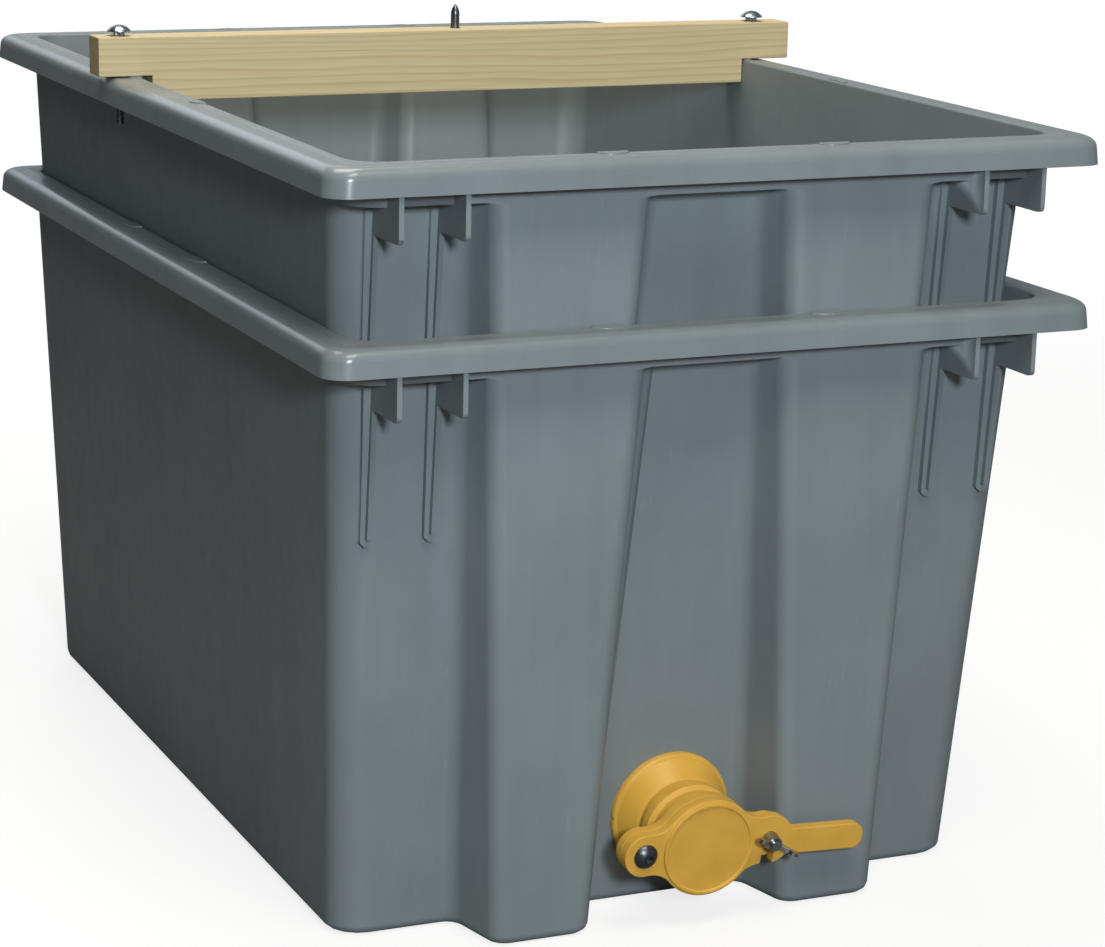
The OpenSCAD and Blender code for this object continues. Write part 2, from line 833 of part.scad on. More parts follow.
module bolt_washers() {
    color(zinc)
        for (side = [-1, 1])
            translate([side * bolt_x, bar_y, under_rim - washer_t])
                difference() {
                    cylinder(d = washer_d, h = washer_t);
                    translate([0, 0, -eps])
                        cylinder(r = bolt_r + bolt_play / 2, h = washer_t + 2 * eps);
                }
}

module bolt_nuts() {
    color(zinc)
        for (side = [-1, 1])
            translate([side * bolt_x, bar_y, under_rim - washer_t - nut_h])
                rotate([0, 0, 30])
                    hex_nut();
}

lower_tub();
gate_body();
gate_gasket();
gate_lock_nut();
pivot_screw();
pivot_nut();
clamp_bolt();
gate_flap();
wing_nut();
strainer_tub();
crossbar();
frame_spike();
carriage_bolts();
bolt_washers();
bolt_nuts();
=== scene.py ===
# %% [markdown]
# # An uncapping tank
# A beekeeper cuts the wax lids off a comb over this tank. Two grey nesting tubs sit one in the other.
# The upper one has a drained floor and a pine crossbar with a spike that holds a comb frame upright. The
# lower one collects the honey and lets it out through a yellow gate.
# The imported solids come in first. They are the frame that every other piece has to fit.

# %% Load the frame
import json
import math
import bmesh
import bpy
from mathutils import Matrix, Vector


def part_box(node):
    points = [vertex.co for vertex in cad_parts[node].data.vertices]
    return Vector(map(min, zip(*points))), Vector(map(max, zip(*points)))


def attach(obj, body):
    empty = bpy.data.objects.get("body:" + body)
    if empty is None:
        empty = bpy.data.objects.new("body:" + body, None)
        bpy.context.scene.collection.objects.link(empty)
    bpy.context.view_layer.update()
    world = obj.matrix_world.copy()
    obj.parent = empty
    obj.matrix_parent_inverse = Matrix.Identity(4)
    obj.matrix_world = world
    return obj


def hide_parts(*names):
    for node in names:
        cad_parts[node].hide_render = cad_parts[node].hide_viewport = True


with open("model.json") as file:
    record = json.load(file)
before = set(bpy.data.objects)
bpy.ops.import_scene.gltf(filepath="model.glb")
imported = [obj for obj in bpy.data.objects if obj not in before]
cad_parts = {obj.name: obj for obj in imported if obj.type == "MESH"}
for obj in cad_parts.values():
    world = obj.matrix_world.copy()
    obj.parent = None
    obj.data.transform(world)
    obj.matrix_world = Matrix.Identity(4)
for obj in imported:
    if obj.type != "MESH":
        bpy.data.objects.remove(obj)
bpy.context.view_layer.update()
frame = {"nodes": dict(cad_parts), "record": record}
nodes = frame["nodes"]
MM = 0.001
scene = bpy.context.scene

# %% [markdown]
# ## Camera
# The photograph was taken from the left of the gate end, a little above the rim, with a fairly long lens.
# Two rims and the floor of a tub of known size are enough to work out where the camera stood, so its place
# and its three axes are written here as that fit gave them, in the frame's own metres.
# The fit puts the lens's middle 40 pixels left of the picture's middle, as in a picture that was cropped.
# A small sideways shift of the lens does the same.

# %% Camera
IMAGE_W = 1105
FOCAL_PX = 3090.8
MIDDLE_PX = 512.7
SENSOR_MM = 36.0
eye = Vector((-0.6554, -1.5557, 0.5816))
to_right = Vector((0.91939, -0.39290, 0.01892))
to_down = Vector((-0.07713, -0.22723, -0.97078))
ahead = Vector((0.38572, 0.89107, -0.23921))

bpy.ops.object.select_all(action="DESELECT")
bpy.ops.object.camera_add()
camera = bpy.context.object
camera.name = "photo_camera"
camera.data.sensor_width = SENSOR_MM
camera.data.lens = SENSOR_MM * FOCAL_PX / IMAGE_W
camera.data.shift_x = (IMAGE_W / 2 - MIDDLE_PX) / IMAGE_W
turn = Matrix((to_right, -to_down, -ahead)).transposed()
camera.matrix_world = Matrix.Translation(eye) @ turn.to_4x4()
scene.camera = camera
print("camera: lens", round(camera.data.lens, 1), "mm")

# %% [markdown]
# ## Finishes
# A material is a small graph of nodes. Colours are picked in sRGB, as on a screen, and the shader wants
# them linear, so one function turns them. Another adds a node, sets it up and links it in one line.
# Every pattern reads Object coordinates, which are metres here, so a scale can be given in millimetres.
# Most of a noise lies between 0.3 and 0.7, so that span is what gets stretched to the range that is wanted.

# %% Helpers for materials
NOISE_SPAN = {"From Min": 0.3, "From Max": 0.7}


def linear(hex_colour):
    # The sRGB curve is straight near black and a power above that
    parts = [int(hex_colour[i:i + 2], 16) / 255 for i in (1, 3, 5)]
    light = [c / 12.92 if c <= 0.04045 else ((c + 0.055) / 1.055) ** 2.4 for c in parts]
    return (*light, 1.0)


def add(tree, kind, inputs=None, **settings):
    node = tree.nodes.new("ShaderNode" + kind)
    for key, value in settings.items():
        setattr(node, key, value)
    for key, value in (inputs or {}).items():
        if isinstance(value, bpy.types.NodeSocket):
            tree.links.new(value, node.inputs[key])
        else:
            node.inputs[key].default_value = value
    return node


def start_material(name):
    material = bpy.data.materials.new(name)
    material.use_nodes = True
    tree = material.node_tree
    shader = tree.nodes["Principled BSDF"]
    where = add(tree, "TexCoord").outputs["Object"]
    return material, tree, shader, where


def stops(ramp, *pairs):
    elements = ramp.color_ramp.elements
    while len(elements) < len(pairs):
        elements.new(0.5)
    for element, (place, colour) in zip(elements, pairs):
        element.position = place
        element.color = linear(colour)
    return ramp.outputs["Color"]


def per_mm(size):
    return 1.0 / (size * MM)

# %% [markdown]
# ### Tub plastic
# The tubs are injection-moulded polyethylene: a cool mid grey with a waxy satin sheen. The eye sees a fine
# pebble from the mould, a faint cloudiness where the melt flowed, and short pale scuffs that run up and
# down, because the tubs rub along each other when they are nested and pulled apart. Faint, broad stains run
# down the walls as well.
# All of these could be painted on an image, but noise needs no unwrapping. A Mapping node that scales each
# axis by itself stretches it along Z. Only the top of the noise shows as scuffs.

# %% Tub plastic: colour
FLOW_MM = 70
SCUFF_MM = (1.1, 1.1, 25)
STAIN_MM = (12, 12, 160)
tub_plastic, tree, shader, where = start_material("moulded_polyethylene_grey")
cloud = add(tree, "TexNoise", {"Vector": where, "Scale": per_mm(FLOW_MM), "Detail": 3.0})
ramp = add(tree, "ValToRGB", {"Fac": cloud.outputs["Fac"]})
grey = stops(ramp, (0.35, "#717a7c"), (0.65, "#778082"))
along = add(tree, "Mapping", {"Vector": where, "Scale": tuple(map(per_mm, SCUFF_MM))})
rub = add(tree, "TexNoise", {"Vector": along.outputs["Vector"], "Scale": 1.0, "Detail": 2.0})
scuff = add(tree, "MapRange", {"Value": rub.outputs["Fac"], "From Min": 0.66, "From Max": 0.78,
                               "To Min": 0.0, "To Max": 0.35})
tint = add(tree, "Mix", {"Factor": scuff.outputs["Result"], "A": grey, "B": linear("#8b9597")},
           data_type="RGBA")
down = add(tree, "Mapping", {"Vector": where, "Scale": tuple(map(per_mm, STAIN_MM))})
run = add(tree, "TexNoise", {"Vector": down.outputs["Vector"], "Scale": 1.0, "Detail": 4.0})
stain = add(tree, "MapRange", {"Value": run.outputs["Fac"], **NOISE_SPAN,
                               "To Min": 0.965, "To Max": 1.035})
worn = add(tree, "VectorMath", {0: tint.outputs["Result"], "Scale": stain.outputs["Result"]},
           operation="SCALE")
tree.links.new(worn.outputs["Vector"], shader.inputs["Base Color"])
print(tub_plastic.name, "colour:", len(tree.nodes), "nodes")

# %% [markdown]
# Hands and lids have polished the rims. A point is on a rim when it lies beyond the walls, along X or Y,
# and at the height of that rim. Two ramps that are multiplied say so, and there the roughness drops.

# %% Tub plastic: sheen and pebble
MOTTLE_MM = 9
RIM_ROUGHNESS = 0.26
RIM_H = 14 * MM
RIM_OUT = 16 * MM
RIM_FADE = 4 * MM
# The mould's pebble is too fine to show from here, so it is drawn coarser than it is
PEBBLE_MM = 1.2
PEBBLE_DEPTH = 0.12 * MM
mottle = add(tree, "TexNoise", {"Vector": where, "Scale": per_mm(MOTTLE_MM), "Detail": 2.0})
rough = add(tree, "MapRange", {"Value": mottle.outputs["Fac"], **NOISE_SPAN,
                               "To Min": 0.46, "To Max": 0.54})
axes = add(tree, "SeparateXYZ", {0: where})
beyond = []
for axis, edge in zip("XY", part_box("lower_tub")[1]):
    away = add(tree, "Math", {0: axes.outputs[axis]}, operation="ABSOLUTE")
    past = add(tree, "MapRange", {"Value": away.outputs[0], "From Min": edge - RIM_OUT,
                                  "From Max": edge - RIM_OUT + RIM_FADE})
    beyond.append(past.outputs["Result"])
outside = add(tree, "Math", {0: beyond[0], 1: beyond[1]}, operation="MAXIMUM")
polish = rough.outputs["Result"]
for node in ("lower_tub", "strainer_tub"):
    rim_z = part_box(node)[1][2] - RIM_H / 2
    off = add(tree, "Math", {0: axes.outputs["Z"], 1: rim_z}, operation="SUBTRACT")
    off = add(tree, "Math", {0: off.outputs[0]}, operation="ABSOLUTE")
    band = add(tree, "MapRange", {"Value": off.outputs[0], "From Min": RIM_H / 2,
                                  "From Max": RIM_H / 2 + RIM_FADE, "To Min": 1.0, "To Max": 0.0})
    worn_rim = add(tree, "Math", {0: band.outputs["Result"], 1: outside.outputs[0]},
                   operation="MULTIPLY")
    polished = add(tree, "Mix", {"Factor": worn_rim.outputs[0], "A": polish, "B": RIM_ROUGHNESS})
    polish = polished.outputs["Result"]
tree.links.new(polish, shader.inputs["Roughness"])
pebble = add(tree, "TexNoise", {"Vector": where, "Scale": per_mm(PEBBLE_MM), "Detail": 1.0})
bump = add(tree, "Bump", {"Height": pebble.outputs["Fac"], "Strength": 0.2, "Distance": PEBBLE_DEPTH})
tree.links.new(bump.outputs["Normal"], shader.inputs["Normal"])
shader.inputs["IOR"].default_value = 1.5
print(tub_plastic.name, "in all:", len(tree.nodes), "nodes")

# %% [markdown]
# ### Gate plastic
# The gate is moulded nylon in honey yellow. Its highlights are a little sharper than those on the tubs'
# walls, and its skin is slightly uneven, so on the round neck they break up a little. Some light enters
# nylon and comes out again close by, which the subsurface values give.

# %% Gate plastic
CLOUD_MM = 18
SKIN_MM = 2.5
SKIN_DEPTH = 0.12 * MM
gate_plastic, tree, shader, where = start_material("moulded_nylon_honey_yellow")
cloud = add(tree, "TexNoise", {"Vector": where, "Scale": per_mm(CLOUD_MM), "Detail": 2.0})
ramp = add(tree, "ValToRGB", {"Fac": cloud.outputs["Fac"]})
tree.links.new(stops(ramp, (0.3, "#cd9d3e"), (0.7, "#d5a748")), shader.inputs["Base Color"])
skin = add(tree, "TexNoise", {"Vector": where, "Scale": per_mm(SKIN_MM), "Detail": 2.0})
rough = add(tree, "MapRange", {"Value": skin.outputs["Fac"], "To Min": 0.36, "To Max": 0.50})
tree.links.new(rough.outputs["Result"], shader.inputs["Roughness"])
bump = add(tree, "Bump", {"Height": skin.outputs["Fac"], "Strength": 0.2, "Distance": SKIN_DEPTH})
tree.links.new(bump.outputs["Normal"], shader.inputs["Normal"])
shader.inputs["IOR"].default_value = 1.53
shader.inputs["Specular IOR Level"].default_value = 0.3
shader.inputs["Subsurface Weight"].default_value = 0.3
shader.inputs["Subsurface Radius"].default_value = (3 * MM, 1.5 * MM, 0.5 * MM)
shader.inputs["Subsurface Scale"].default_value = 1.0
print(gate_plastic.name, "-", len(tree.nodes), "nodes")

# %% [markdown]
# ### Planed pine
# The crossbar is a batten of pale softwood. Its yearly rings are cylinders round a pith that lay below and
# behind the batten, so the long faces show nearly straight lines and the ends show arcs. Rings about the X
# axis give both at once, and a little noise lets the lines wander. Fine dark fibres lie along the batten.

# %% Planed pine
RING_MM = 3.4
# The wave texture has one ring in this length of its own unit
WAVE_RING = math.tau / 20
WANDER_MM = 30
WANDER_REACH = 16 * MM
# X is shortened for the noise, so that the rings wander slowly along the batten
SHORTENED_X = 0.10
FIBRE_MM = (40, 0.7, 0.7)
FIBRE_DEPTH = 0.15 * MM
PITH_BEHIND = 26 * MM
PITH_BELOW = 30 * MM
pine, tree, shader, where = start_material("planed_pine_bare")
low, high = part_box("crossbar")
pith = (0.0, (low[1] + high[1]) / 2 + PITH_BEHIND, low[2] - PITH_BELOW)
shift = add(tree, "Mapping", {"Vector": where, "Location": tuple(-v for v in pith)})
slow = add(tree, "Mapping", {"Vector": shift.outputs["Vector"], "Scale": (SHORTENED_X, 1.0, 1.0)})
wander = add(tree, "TexNoise", {"Vector": slow.outputs["Vector"], "Scale": per_mm(WANDER_MM),
                                "Detail": 2.0})
drift = add(tree, "VectorMath", {0: wander.outputs["Color"], 1: (0.5, 0.5, 0.5)}, operation="SUBTRACT")
drift = add(tree, "VectorMath", {0: drift.outputs["Vector"], "Scale": WANDER_REACH}, operation="SCALE")
bent = add(tree, "VectorMath", {0: slow.outputs["Vector"], 1: drift.outputs["Vector"]})
rings = add(tree, "TexWave", {"Vector": bent.outputs["Vector"], "Scale": per_mm(RING_MM) * WAVE_RING,
                              "Distortion": 0.0},
            wave_type="RINGS", rings_direction="X", wave_profile="SAW")
ramp = add(tree, "ValToRGB", {"Fac": rings.outputs["Fac"]})
year = stops(ramp, (0.0, "#c5b68f"), (0.5, "#c2b188"), (0.85, "#b9a57b"), (1.0, "#c4b38d"))
fibre_space = add(tree, "Mapping", {"Vector": where, "Scale": tuple(map(per_mm, FIBRE_MM))})
fibre = add(tree, "TexNoise", {"Vector": fibre_space.outputs["Vector"], "Scale": 1.0, "Detail": 3.0})
shade = add(tree, "MapRange", {"Value": fibre.outputs["Fac"], **NOISE_SPAN,
                               "To Min": 0.92, "To Max": 1.04})
wood = add(tree, "VectorMath", {0: year, "Scale": shade.outputs["Result"]}, operation="SCALE")
tree.links.new(wood.outputs["Vector"], shader.inputs["Base Color"])
rough = add(tree, "MapRange", {"Value": fibre.outputs["Fac"], "To Min": 0.55, "To Max": 0.72})
tree.links.new(rough.outputs["Result"], shader.inputs["Roughness"])
bump = add(tree, "Bump", {"Height": fibre.outputs["Fac"], "Strength": 0.3, "Distance": FIBRE_DEPTH})
tree.links.new(bump.outputs["Normal"], shader.inputs["Normal"])
print(pine.name, "-", len(tree.nodes), "nodes")

# %% [markdown]
# ### Metals and rubber
# The bolts, nuts and wing nut are zinc-plated steel, bright with a cloudy spangle. The pivot screw is
# blackened, the spike is plain ground steel with a finer grain, and the gasket is black rubber.

# %% Metals and rubber
RUBBER_GRAIN_MM = 1.5


def metal(name, dark, light, roughness, grain_mm):
    material, tree, shader, where = start_material(name)
    cloud = add(tree, "TexNoise", {"Vector": where, "Scale": per_mm(grain_mm), "Detail": 3.0})
    ramp = add(tree, "ValToRGB", {"Fac": cloud.outputs["Fac"]})
    tree.links.new(stops(ramp, (0.3, dark), (0.7, light)), shader.inputs["Base Color"])
    rough = add(tree, "MapRange", {"Value": cloud.outputs["Fac"], **NOISE_SPAN,
                                   "To Min": roughness[0], "To Max": roughness[1]})
    tree.links.new(rough.outputs["Result"], shader.inputs["Roughness"])
    shader.inputs["Metallic"].default_value = 1.0
    return material


zinc = metal("zinc_plated_steel", "#868d92", "#a3aaae", roughness=(0.18, 0.34), grain_mm=1.5)
black_steel = metal("blackened_steel", "#4b4d50", "#63666a", roughness=(0.30, 0.42), grain_mm=1.0)
spike_steel = metal("ground_steel", "#5c5e60", "#76787a", roughness=(0.26, 0.40), grain_mm=0.8)

rubber, tree, shader, where = start_material("moulded_black_rubber")
grain = add(tree, "TexNoise", {"Vector": where, "Scale": per_mm(RUBBER_GRAIN_MM), "Detail": 2.0})
ramp = add(tree, "ValToRGB", {"Fac": grain.outputs["Fac"]})
tree.links.new(stops(ramp, (0.3, "#161718"), (0.7, "#242526")), shader.inputs["Base Color"])
shader.inputs["Roughness"].default_value = 0.7

finish_of = {"tub_plastic": tub_plastic, "gate_plastic": gate_plastic, "pine": pine, "zinc_steel": zinc,
             "dark_steel": black_steel, "spike_steel": spike_steel, "gasket_rubber": rubber}
slot_of = {part["node"]: part["material_slot"] for part in frame["record"]["subparts"]}
body_of = {node: body for body, names in frame["record"]["behaviour"]["bodies"].items() for node in names}
for name, piece in nodes.items():
    piece.data.materials.clear()
    piece.data.materials.append(finish_of[slot_of[name]])
print("finishes:", sorted(m.name for m in finish_of.values()))

# %% [markdown]
# ## Tools for the pieces
# Each piece is made the way it would be made by hand in the editor: select, switch to edit mode, shape,
# switch back, finish with a modifier. These functions hold the steps that every piece repeats. A piece
# that stands for a solid takes over its body and its finish, so that it moves and looks as the solid would.

# %% Tools for the pieces
WELD = 0.005 * MM
FLAT_ANGLE = math.radians(0.3)
SOFT_ANGLE = math.radians(40)
NORMAL_WEIGHT = 80


def deselect():
    bpy.ops.object.select_all(action="DESELECT")


def select_only(piece):
    deselect()
    piece.select_set(True)
    bpy.context.view_layer.objects.active = piece


def edit(piece):
    select_only(piece)
    bpy.ops.object.mode_set(mode="EDIT")
    bpy.ops.mesh.select_all(action="SELECT")


def leave():
    bpy.ops.object.mode_set(mode="OBJECT")


def apply_place():
    bpy.ops.object.transform_apply(location=True, rotation=True, scale=True)


def pick_faces(piece, wanted):
    bpy.ops.mesh.select_mode(type="FACE")
    bpy.ops.mesh.select_all(action="DESELECT")
    mesh = bmesh.from_edit_mesh(piece.data)
    for face in mesh.faces:
        face.select_set(wanted(face.calc_center_median(), face.normal))
    bmesh.update_edit_mesh(piece.data)


def finish_with(piece, kind, **settings):
    modifier = piece.modifiers.new(kind.lower(), kind)
    for key, value in settings.items():
        setattr(modifier, key, value)
    select_only(piece)
    bpy.ops.object.modifier_apply(modifier=modifier.name)


def smooth(piece, angle):
    select_only(piece)
    bpy.ops.object.shade_smooth_by_angle(angle=angle)
    finish_with(piece, "WEIGHTED_NORMAL", weight=NORMAL_WEIGHT, keep_sharp=True)


def soften(piece, width, segments=2, angle=30):
    finish_with(piece, "BEVEL", width=width, segments=segments, limit_method="ANGLE",
                angle_limit=math.radians(angle), use_clamp_overlap=True)
    # Where a bevel has no room, it leaves points on top of each other, which are merged here
    edit(piece)
    bpy.ops.mesh.remove_doubles(threshold=WELD)
    bpy.ops.mesh.dissolve_degenerate(threshold=WELD)
    leave()
    smooth(piece, SOFT_ANGLE)


def settle(piece, name, node):
    select_only(piece)
    apply_place()
    piece.name = name
    piece.data.name = name
    piece.data.materials.clear()
    piece.data.materials.append(finish_of[slot_of[node]])
    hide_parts(node)
    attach(piece, body_of[node])
    print(name, "for", node, "-", len(piece.data.polygons), "faces")
    return piece


def copy_of(node):
    piece = nodes[node].copy()
    piece.data = nodes[node].data.copy()
    scene.collection.objects.link(piece)
    edit(piece)
    bpy.ops.mesh.remove_doubles(threshold=WELD)
    bpy.ops.mesh.dissolve_limited(angle_limit=FLAT_ANGLE)
    leave()
    return piece

# %% [markdown]
# ## The tubs
# The two tubs are mouldings, and their solids already have the columns, ledges and rims. What a moulding
# has and a solid lacks is soft shading: the facets of the corners melt into one curve, while the flat
# walls stay flat. Each copy is welded first, and its normals then lean towards the larger faces.

# %% The tubs
TUB_ANGLE = math.radians(34)
for node in ("lower_tub", "strainer_tub"):
    tub = copy_of(node)
    smooth(tub, TUB_ANGLE)
    settle(tub, node + "_moulding", node)

# %% [markdown]
# ## The gate, nuts and washers
# The gate's body, flap and lock nut come out of a mould with rounded arrises, and on the metal nuts and
# washers the sharpness is taken off. The solids have the true outline, so their copies are welded, the flat
# faces are made whole again, and every edge sharper than 30 degrees is rounded.

# %% The gate, nuts and washers
EDGE_R = {"gate_body": 0.7 * MM, "gate_flap": 1.6 * MM, "gate_lock_nut": 0.8 * MM, "wing_nut": 0.5 * MM,
          "pivot_nut": 0.4 * MM, "bolt_nuts": 0.4 * MM, "bolt_washers": 0.2 * MM}
for node, width in EDGE_R.items():
    piece = copy_of(node)
    soften(piece, width, segments=3)
    settle(piece, node + "_rounded", node)

# %% [markdown]
# ## Pivot screw
# The flap turns on a button-head screw with a hexagon socket for a key. The socket could be inset in the
# dome by hand, but the dome has many small faces there. A six-sided prism that the Boolean modifier takes
# away is cleaner. Its place and direction are those of the joint that the flap swings on.

# %% Pivot screw
SCREW_EDGE = 0.5 * MM
KEY_W = 4.0 * MM
SOCKET_DEPTH = 1.6 * MM
swing = next(j for j in frame["record"]["behaviour"]["joints"] if j["name"] == "flap_swing")
pivot = Vector(swing["pos_m"])
outward = Vector(swing["axis"])
screw = copy_of("pivot_screw")
soften(screw, SCREW_EDGE, segments=3)
apex = max((v.co - pivot).dot(outward) for v in screw.data.vertices)
deselect()
bpy.ops.mesh.primitive_cylinder_add(vertices=6, radius=KEY_W / math.sqrt(3), depth=2 * SOCKET_DEPTH,
                                    location=pivot + apex * outward,
                                    rotation=outward.to_track_quat("Z", "Y").to_euler())
key = bpy.context.object
finish_with(screw, "BOOLEAN", object=key, operation="DIFFERENCE", solver="EXACT")
bpy.data.objects.remove(key)
settle(screw, "pivot_screw_socket_head", "pivot_screw")

# %% [markdown]
# ## The crossbar
# A batten with a notch under each end. It starts as a block as high as its ends, is cut across at both
# shoulders, and the middle of its underside is drawn down. A plane takes the sharpness off every arris.

# %% The crossbar
LUG_L = 29.8 * MM
BATTEN_EDGE = 0.8 * MM
low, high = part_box("crossbar")
seat_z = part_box("strainer_tub")[1][2]
shoulders = (low[0] + LUG_L, high[0] - LUG_L)
deselect()
bpy.ops.mesh.primitive_cube_add(size=1.0)
batten = bpy.context.object
batten.scale = (high[0] - low[0], high[1] - low[1], high[2] - seat_z)
batten.location = ((low[0] + high[0]) / 2, (low[1] + high[1]) / 2, (seat_z + high[2]) / 2)
apply_place()
edit(batten)
for cut in shoulders:
    bpy.ops.mesh.select_all(action="SELECT")
    bpy.ops.mesh.bisect(plane_co=(cut, 0, 0), plane_no=(1, 0, 0))
pick_faces(batten, lambda middle, normal: normal.z < -0.9 and shoulders[0] < middle.x < shoulders[1])
bpy.ops.mesh.extrude_region_move(TRANSFORM_OT_translate={"value": (0, 0, low[2] - seat_z)})
leave()
soften(batten, BATTEN_EDGE)
settle(batten, "crossbar_batten", "crossbar")

# %% [markdown]
# ## Threads
# A thread is a small triangle that climbs round a rod. The Screw modifier makes exactly that from one
# triangle: each turn climbs by the pitch. The rod inside is a cylinder with rounded ends.
# The triangle starts with sides as long as the pitch. It is made narrower along the rod, and its crest lies
# at the bolt's own radius, so that its base is hidden in the rod.

# %% Threads
TOOTH_W = 0.8
GROOVE = 1.06
TURN_STEPS = 18
ROD_SIDES = 36
ROD_EDGE = 0.4 * MM
TURN_WELD = 0.001 * MM


def threaded_rod(x, y, foot, top, radius, pitch):
    tooth = pitch / math.sqrt(3)
    deselect()
    bpy.ops.mesh.primitive_circle_add(vertices=3, radius=tooth,
                                      rotation=(math.radians(90), math.radians(90), 0))
    thread = bpy.context.object
    thread.scale = (TOOTH_W, 1.0, 1.0)
    apply_place()
    edit(thread)
    bpy.ops.transform.translate(value=(radius - tooth, 0, foot + pitch))
    leave()
    turns = int((top - foot) / pitch) - 1
    finish_with(thread, "SCREW", axis="Z", angle=math.tau, screw_offset=pitch, iterations=turns,
                steps=TURN_STEPS, render_steps=TURN_STEPS, use_merge_vertices=True,
                merge_threshold=TURN_WELD)
    edit(thread)
    bpy.ops.mesh.fill_holes(sides=3)
    bpy.ops.mesh.normals_make_consistent(inside=False)
    leave()
    deselect()
    bpy.ops.mesh.primitive_cylinder_add(vertices=ROD_SIDES, radius=radius - GROOVE * tooth,
                                        depth=top - foot, location=(0, 0, (foot + top) / 2))
    rod = bpy.context.object
    apply_place()
    soften(rod, ROD_EDGE)
    thread.select_set(True)
    bpy.ops.object.join()
    rod.location = (x, y, 0)
    apply_place()
    return rod

# %% [markdown]
# ## Carriage bolts
# A carriage bolt has a low domed head, a square neck that bites into the wood, and a thread. The dome is
# the cap of a large ball, cut off flat and rounded at its edge. With 28 rings on the ball, nearly a whole
# ring is left next to the cut, so that the rounding has room. The second bolt is a copy of the first.

# %% Carriage bolts
HEAD_R = 6.6 * MM
HEAD_H = 3.6 * MM
HEAD_EDGE = 0.5 * MM
HEAD_EDGE_ANGLE = 25
BALL_SEGMENTS = 48
BALL_RINGS = 28
NECK_HALF = 2.5 * MM
NECK_L = 4.0 * MM
NECK_EDGE = 0.35 * MM
PITCH = 0.8 * MM
low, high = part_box("carriage_bolts")
bolt_y = (low[1] + high[1]) / 2
under = high[2] - HEAD_H
left_x = low[0] + HEAD_R
ball_r = (HEAD_R ** 2 + HEAD_H ** 2) / (2 * HEAD_H)
deselect()
bpy.ops.mesh.primitive_uv_sphere_add(segments=BALL_SEGMENTS, ring_count=BALL_RINGS, radius=ball_r,
                                     location=(left_x, bolt_y, high[2] - ball_r))
head = bpy.context.object
apply_place()
edit(head)
bpy.ops.mesh.bisect(plane_co=(0, 0, under), plane_no=(0, 0, 1), use_fill=True, clear_inner=True)
leave()
soften(head, HEAD_EDGE, segments=3, angle=HEAD_EDGE_ANGLE)
deselect()
bpy.ops.mesh.primitive_cube_add(size=2 * NECK_HALF, location=(left_x, bolt_y, under - NECK_L / 2))
neck = bpy.context.object
neck.scale = (1, 1, NECK_L / (2 * NECK_HALF))
apply_place()
soften(neck, NECK_EDGE)
rod = threaded_rod(left_x, bolt_y, low[2], under - NECK_L, NECK_HALF, PITCH)
select_only(head)
neck.select_set(True)
rod.select_set(True)
bpy.ops.object.join()
select_only(head)
bpy.ops.object.duplicate()
twin = bpy.context.selected_objects[0]
twin.location.x = high[0] - HEAD_R - left_x
settle(head, "carriage_bolt_left", "carriage_bolts")
settle(twin, "carriage_bolt_right", "carriage_bolts")

# %% [markdown]
# ## Spike
# The spike is a turned pin with a bullet point. Its solid has the right profile, and only needs to be
# smooth.

# %% Spike
SPIKE_EDGE = 0.25 * MM
SPIKE_EDGE_ANGLE = 40
spike = copy_of("frame_spike")
soften(spike, SPIKE_EDGE, angle=SPIKE_EDGE_ANGLE)
settle(spike, "frame_spike_turned", "frame_spike")

# %% [markdown]
# ## Floor
# The background is white. The white comes from the world where the camera sees it, and the floor fades out
# into it, so that only the soft shadow round the tank is left. The floor's own paper is darker than it
# looks: the rest of its white is a glow that only the camera sees, so the floor doesn't light the tank from
# below.

# %% Floor
FLOOR_R = 2.4
FADE_FROM = 0.75
FADE_TO = 1.7
PAPER_GLOW = 0.78
deselect()
bpy.ops.mesh.primitive_circle_add(vertices=96, radius=FLOOR_R, fill_type="NGON")
floor = bpy.context.object
floor.name = "floor"
paper, tree, shader, where = start_material("pale_paper")
shader.inputs["Base Color"].default_value = linear("#7c7c7b")
shader.inputs["Roughness"].default_value = 0.9
rays = add(tree, "LightPath")
glow_level = add(tree, "MapRange", {"Value": rays.outputs["Is Camera Ray"],
                                    "To Min": 0.0, "To Max": PAPER_GLOW})
glow = add(tree, "Emission", {"Strength": glow_level.outputs["Result"]})
lit = add(tree, "AddShader", {0: shader.outputs[0], 1: glow.outputs[0]})
reach = add(tree, "VectorMath", {0: where}, operation="LENGTH")
fade = add(tree, "MapRange", {"Value": reach.outputs["Value"], "From Min": FADE_FROM, "From Max": FADE_TO},
           interpolation_type="SMOOTHSTEP")
clear = add(tree, "BsdfTransparent")
sheet = add(tree, "MixShader", {0: fade.outputs["Result"], 1: lit.outputs[0], 2: clear.outputs[0]})
tree.links.new(sheet.outputs[0], tree.nodes["Material Output"].inputs["Surface"])
floor.data.materials.append(paper)
print("floor fades out from", FADE_FROM, "to", FADE_TO, "m")

# %% [markdown]
# ## Room
# The world is the room round the tank. The camera sees it white. It lights the tank only weakly, a little
# bluish, and less from the left. Gloss sees more of it, and also a bright backdrop behind the tank, which
# draws the long highlights on the rims.

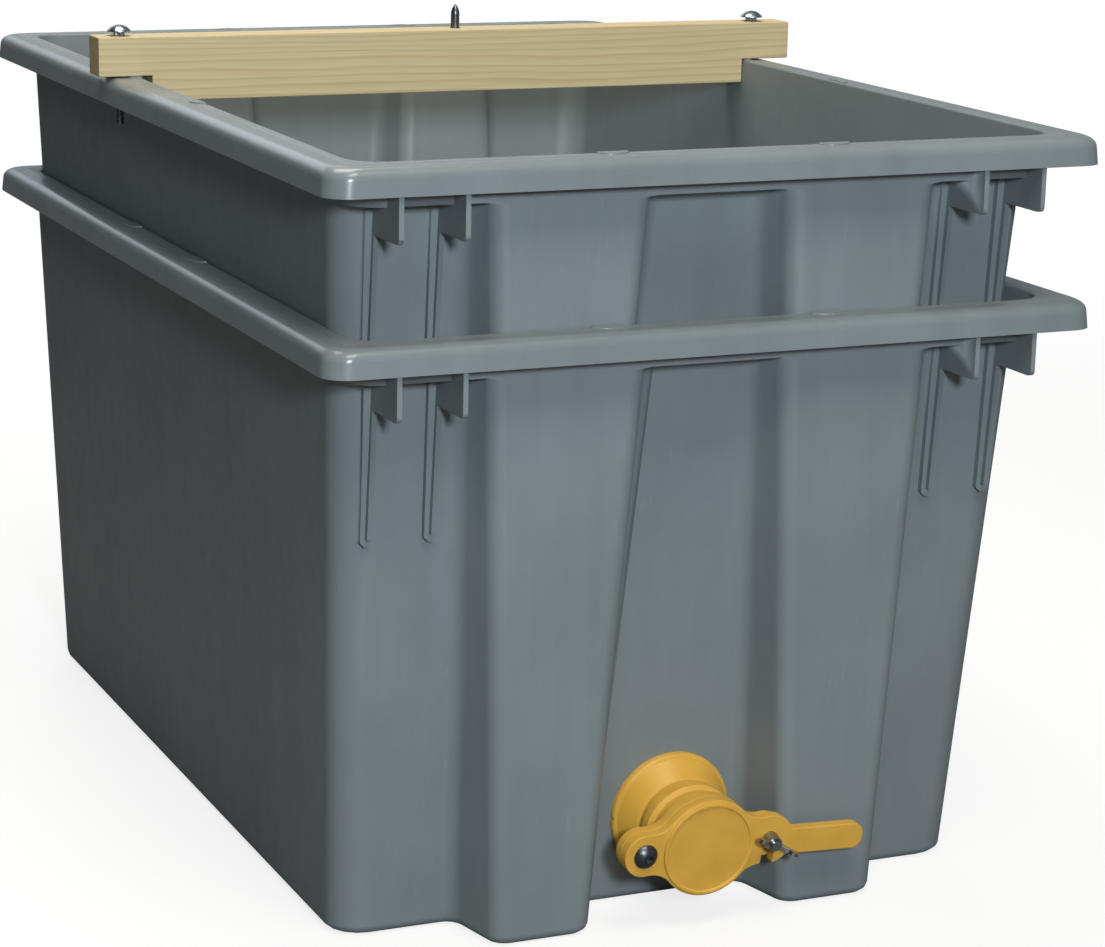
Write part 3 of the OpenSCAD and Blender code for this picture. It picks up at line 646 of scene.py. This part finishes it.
# %% Room
ROOM_LIGHT = 0.05
ROOM_GLOSS = 0.28
LEFT_SHARE = 0.1
BACKDROP = 2.2
world = bpy.data.worlds.new("studio")
world.use_nodes = True
scene.world = world
tree = world.node_tree
rays = add(tree, "LightPath")
open_air = add(tree, "Math", {0: rays.outputs["Is Camera Ray"], 1: rays.outputs["Is Transmission Ray"]},
               operation="MAXIMUM")
toward = add(tree, "SeparateXYZ", {0: add(tree, "TexCoord").outputs["Generated"]})
level = add(tree, "MapRange", {"Value": rays.outputs["Is Glossy Ray"],
                               "To Min": ROOM_LIGHT, "To Max": ROOM_GLOSS})
dim = add(tree, "MapRange", {"Value": toward.outputs["X"], "From Min": -0.8, "From Max": 0.3,
                             "To Min": LEFT_SHARE, "To Max": 1.0})
level = add(tree, "Math", {0: level.outputs["Result"], 1: dim.outputs["Result"]}, operation="MULTIPLY")
behind = add(tree, "MapRange", {"Value": toward.outputs["Y"], "From Min": 0.75, "From Max": 0.95})
raised = add(tree, "MapRange", {"Value": toward.outputs["Z"], "From Min": 0.20, "From Max": 0.34,
                                "To Min": 0.0, "To Max": BACKDROP})
behind = add(tree, "Math", {0: behind.outputs["Result"], 1: raised.outputs["Result"]},
             operation="MULTIPLY")
behind = add(tree, "Math", {0: behind.outputs[0], 1: rays.outputs["Is Glossy Ray"]},
             operation="MULTIPLY")
level = add(tree, "Math", {0: level.outputs[0], 1: behind.outputs[0]}, operation="MAXIMUM")
level = add(tree, "Math", {0: level.outputs[0], 1: open_air.outputs[0]}, operation="MAXIMUM")
tree.links.new(level.outputs[0], tree.nodes["Background"].inputs["Strength"])
sky = add(tree, "Mix", {"Factor": open_air.outputs[0], "A": (0.88, 0.97, 1.08, 1.0),
                        "B": (1.0, 1.0, 1.0, 1.0)}, data_type="RGBA")
tree.links.new(sky.outputs["Result"], tree.nodes["Background"].inputs["Color"])
print("room:", len(tree.nodes), "nodes")

# %% [markdown]
# ## Lamps
# The photograph looks lit by a warm lamp high in front, which leaves soft shadows under the rims, and by a
# small cool flash a little above the camera. The flash fills those shadows and draws thin, crisp ones of
# its own under the skirts, ledges and gussets. A third lamp over the tank reaches into the tub. The left
# wall gets the flash at a low angle, and stays dark. A weak lamp on the left and one behind keep those
# sides from going black. Gloss doesn't see these two, so they draw no highlights.

# %% Lamps
def soft_lamp(name, place, target, size, watts, tint=(1.0, 1.0, 1.0), in_gloss=True):
    bpy.ops.object.light_add(type="AREA", location=place)
    lamp = bpy.context.object
    lamp.name = name
    lamp.data.size = size
    lamp.data.energy = watts
    lamp.data.color = tint
    lamp.rotation_euler = (Vector(target) - Vector(place)).to_track_quat("-Z", "Y").to_euler()
    lamp.visible_glossy = in_gloss
    print(name, watts, "W")


soft_lamp("key_lamp", place=(-0.10, -1.25, 2.15), target=(0.0, -0.1, 0.2), size=1.0, watts=29.0,
          tint=(1.0, 0.93, 0.80))
soft_lamp("top_lamp", place=(-0.14, 0.15, 1.35), target=(0.0, 0.05, 0.3), size=0.6, watts=8.5,
          tint=(1.0, 0.95, 0.86))
soft_lamp("flash_lamp", place=(-0.48, -1.9, 0.80), target=(0.0, 0.0, 0.25), size=0.2, watts=25.0,
          tint=(0.84, 0.92, 1.0))
soft_lamp("left_lamp", place=(-1.6, -0.5, 0.6), target=(0.0, 0.1, 0.25), size=1.0, watts=0.8,
          tint=(1.0, 0.92, 0.78), in_gloss=False)
soft_lamp("back_lamp", place=(0.35, 1.7, 0.6), target=(0.0, 0.1, 0.25), size=1.0, watts=14.0,
          in_gloss=False)
scene.view_settings.view_transform = "Standard"
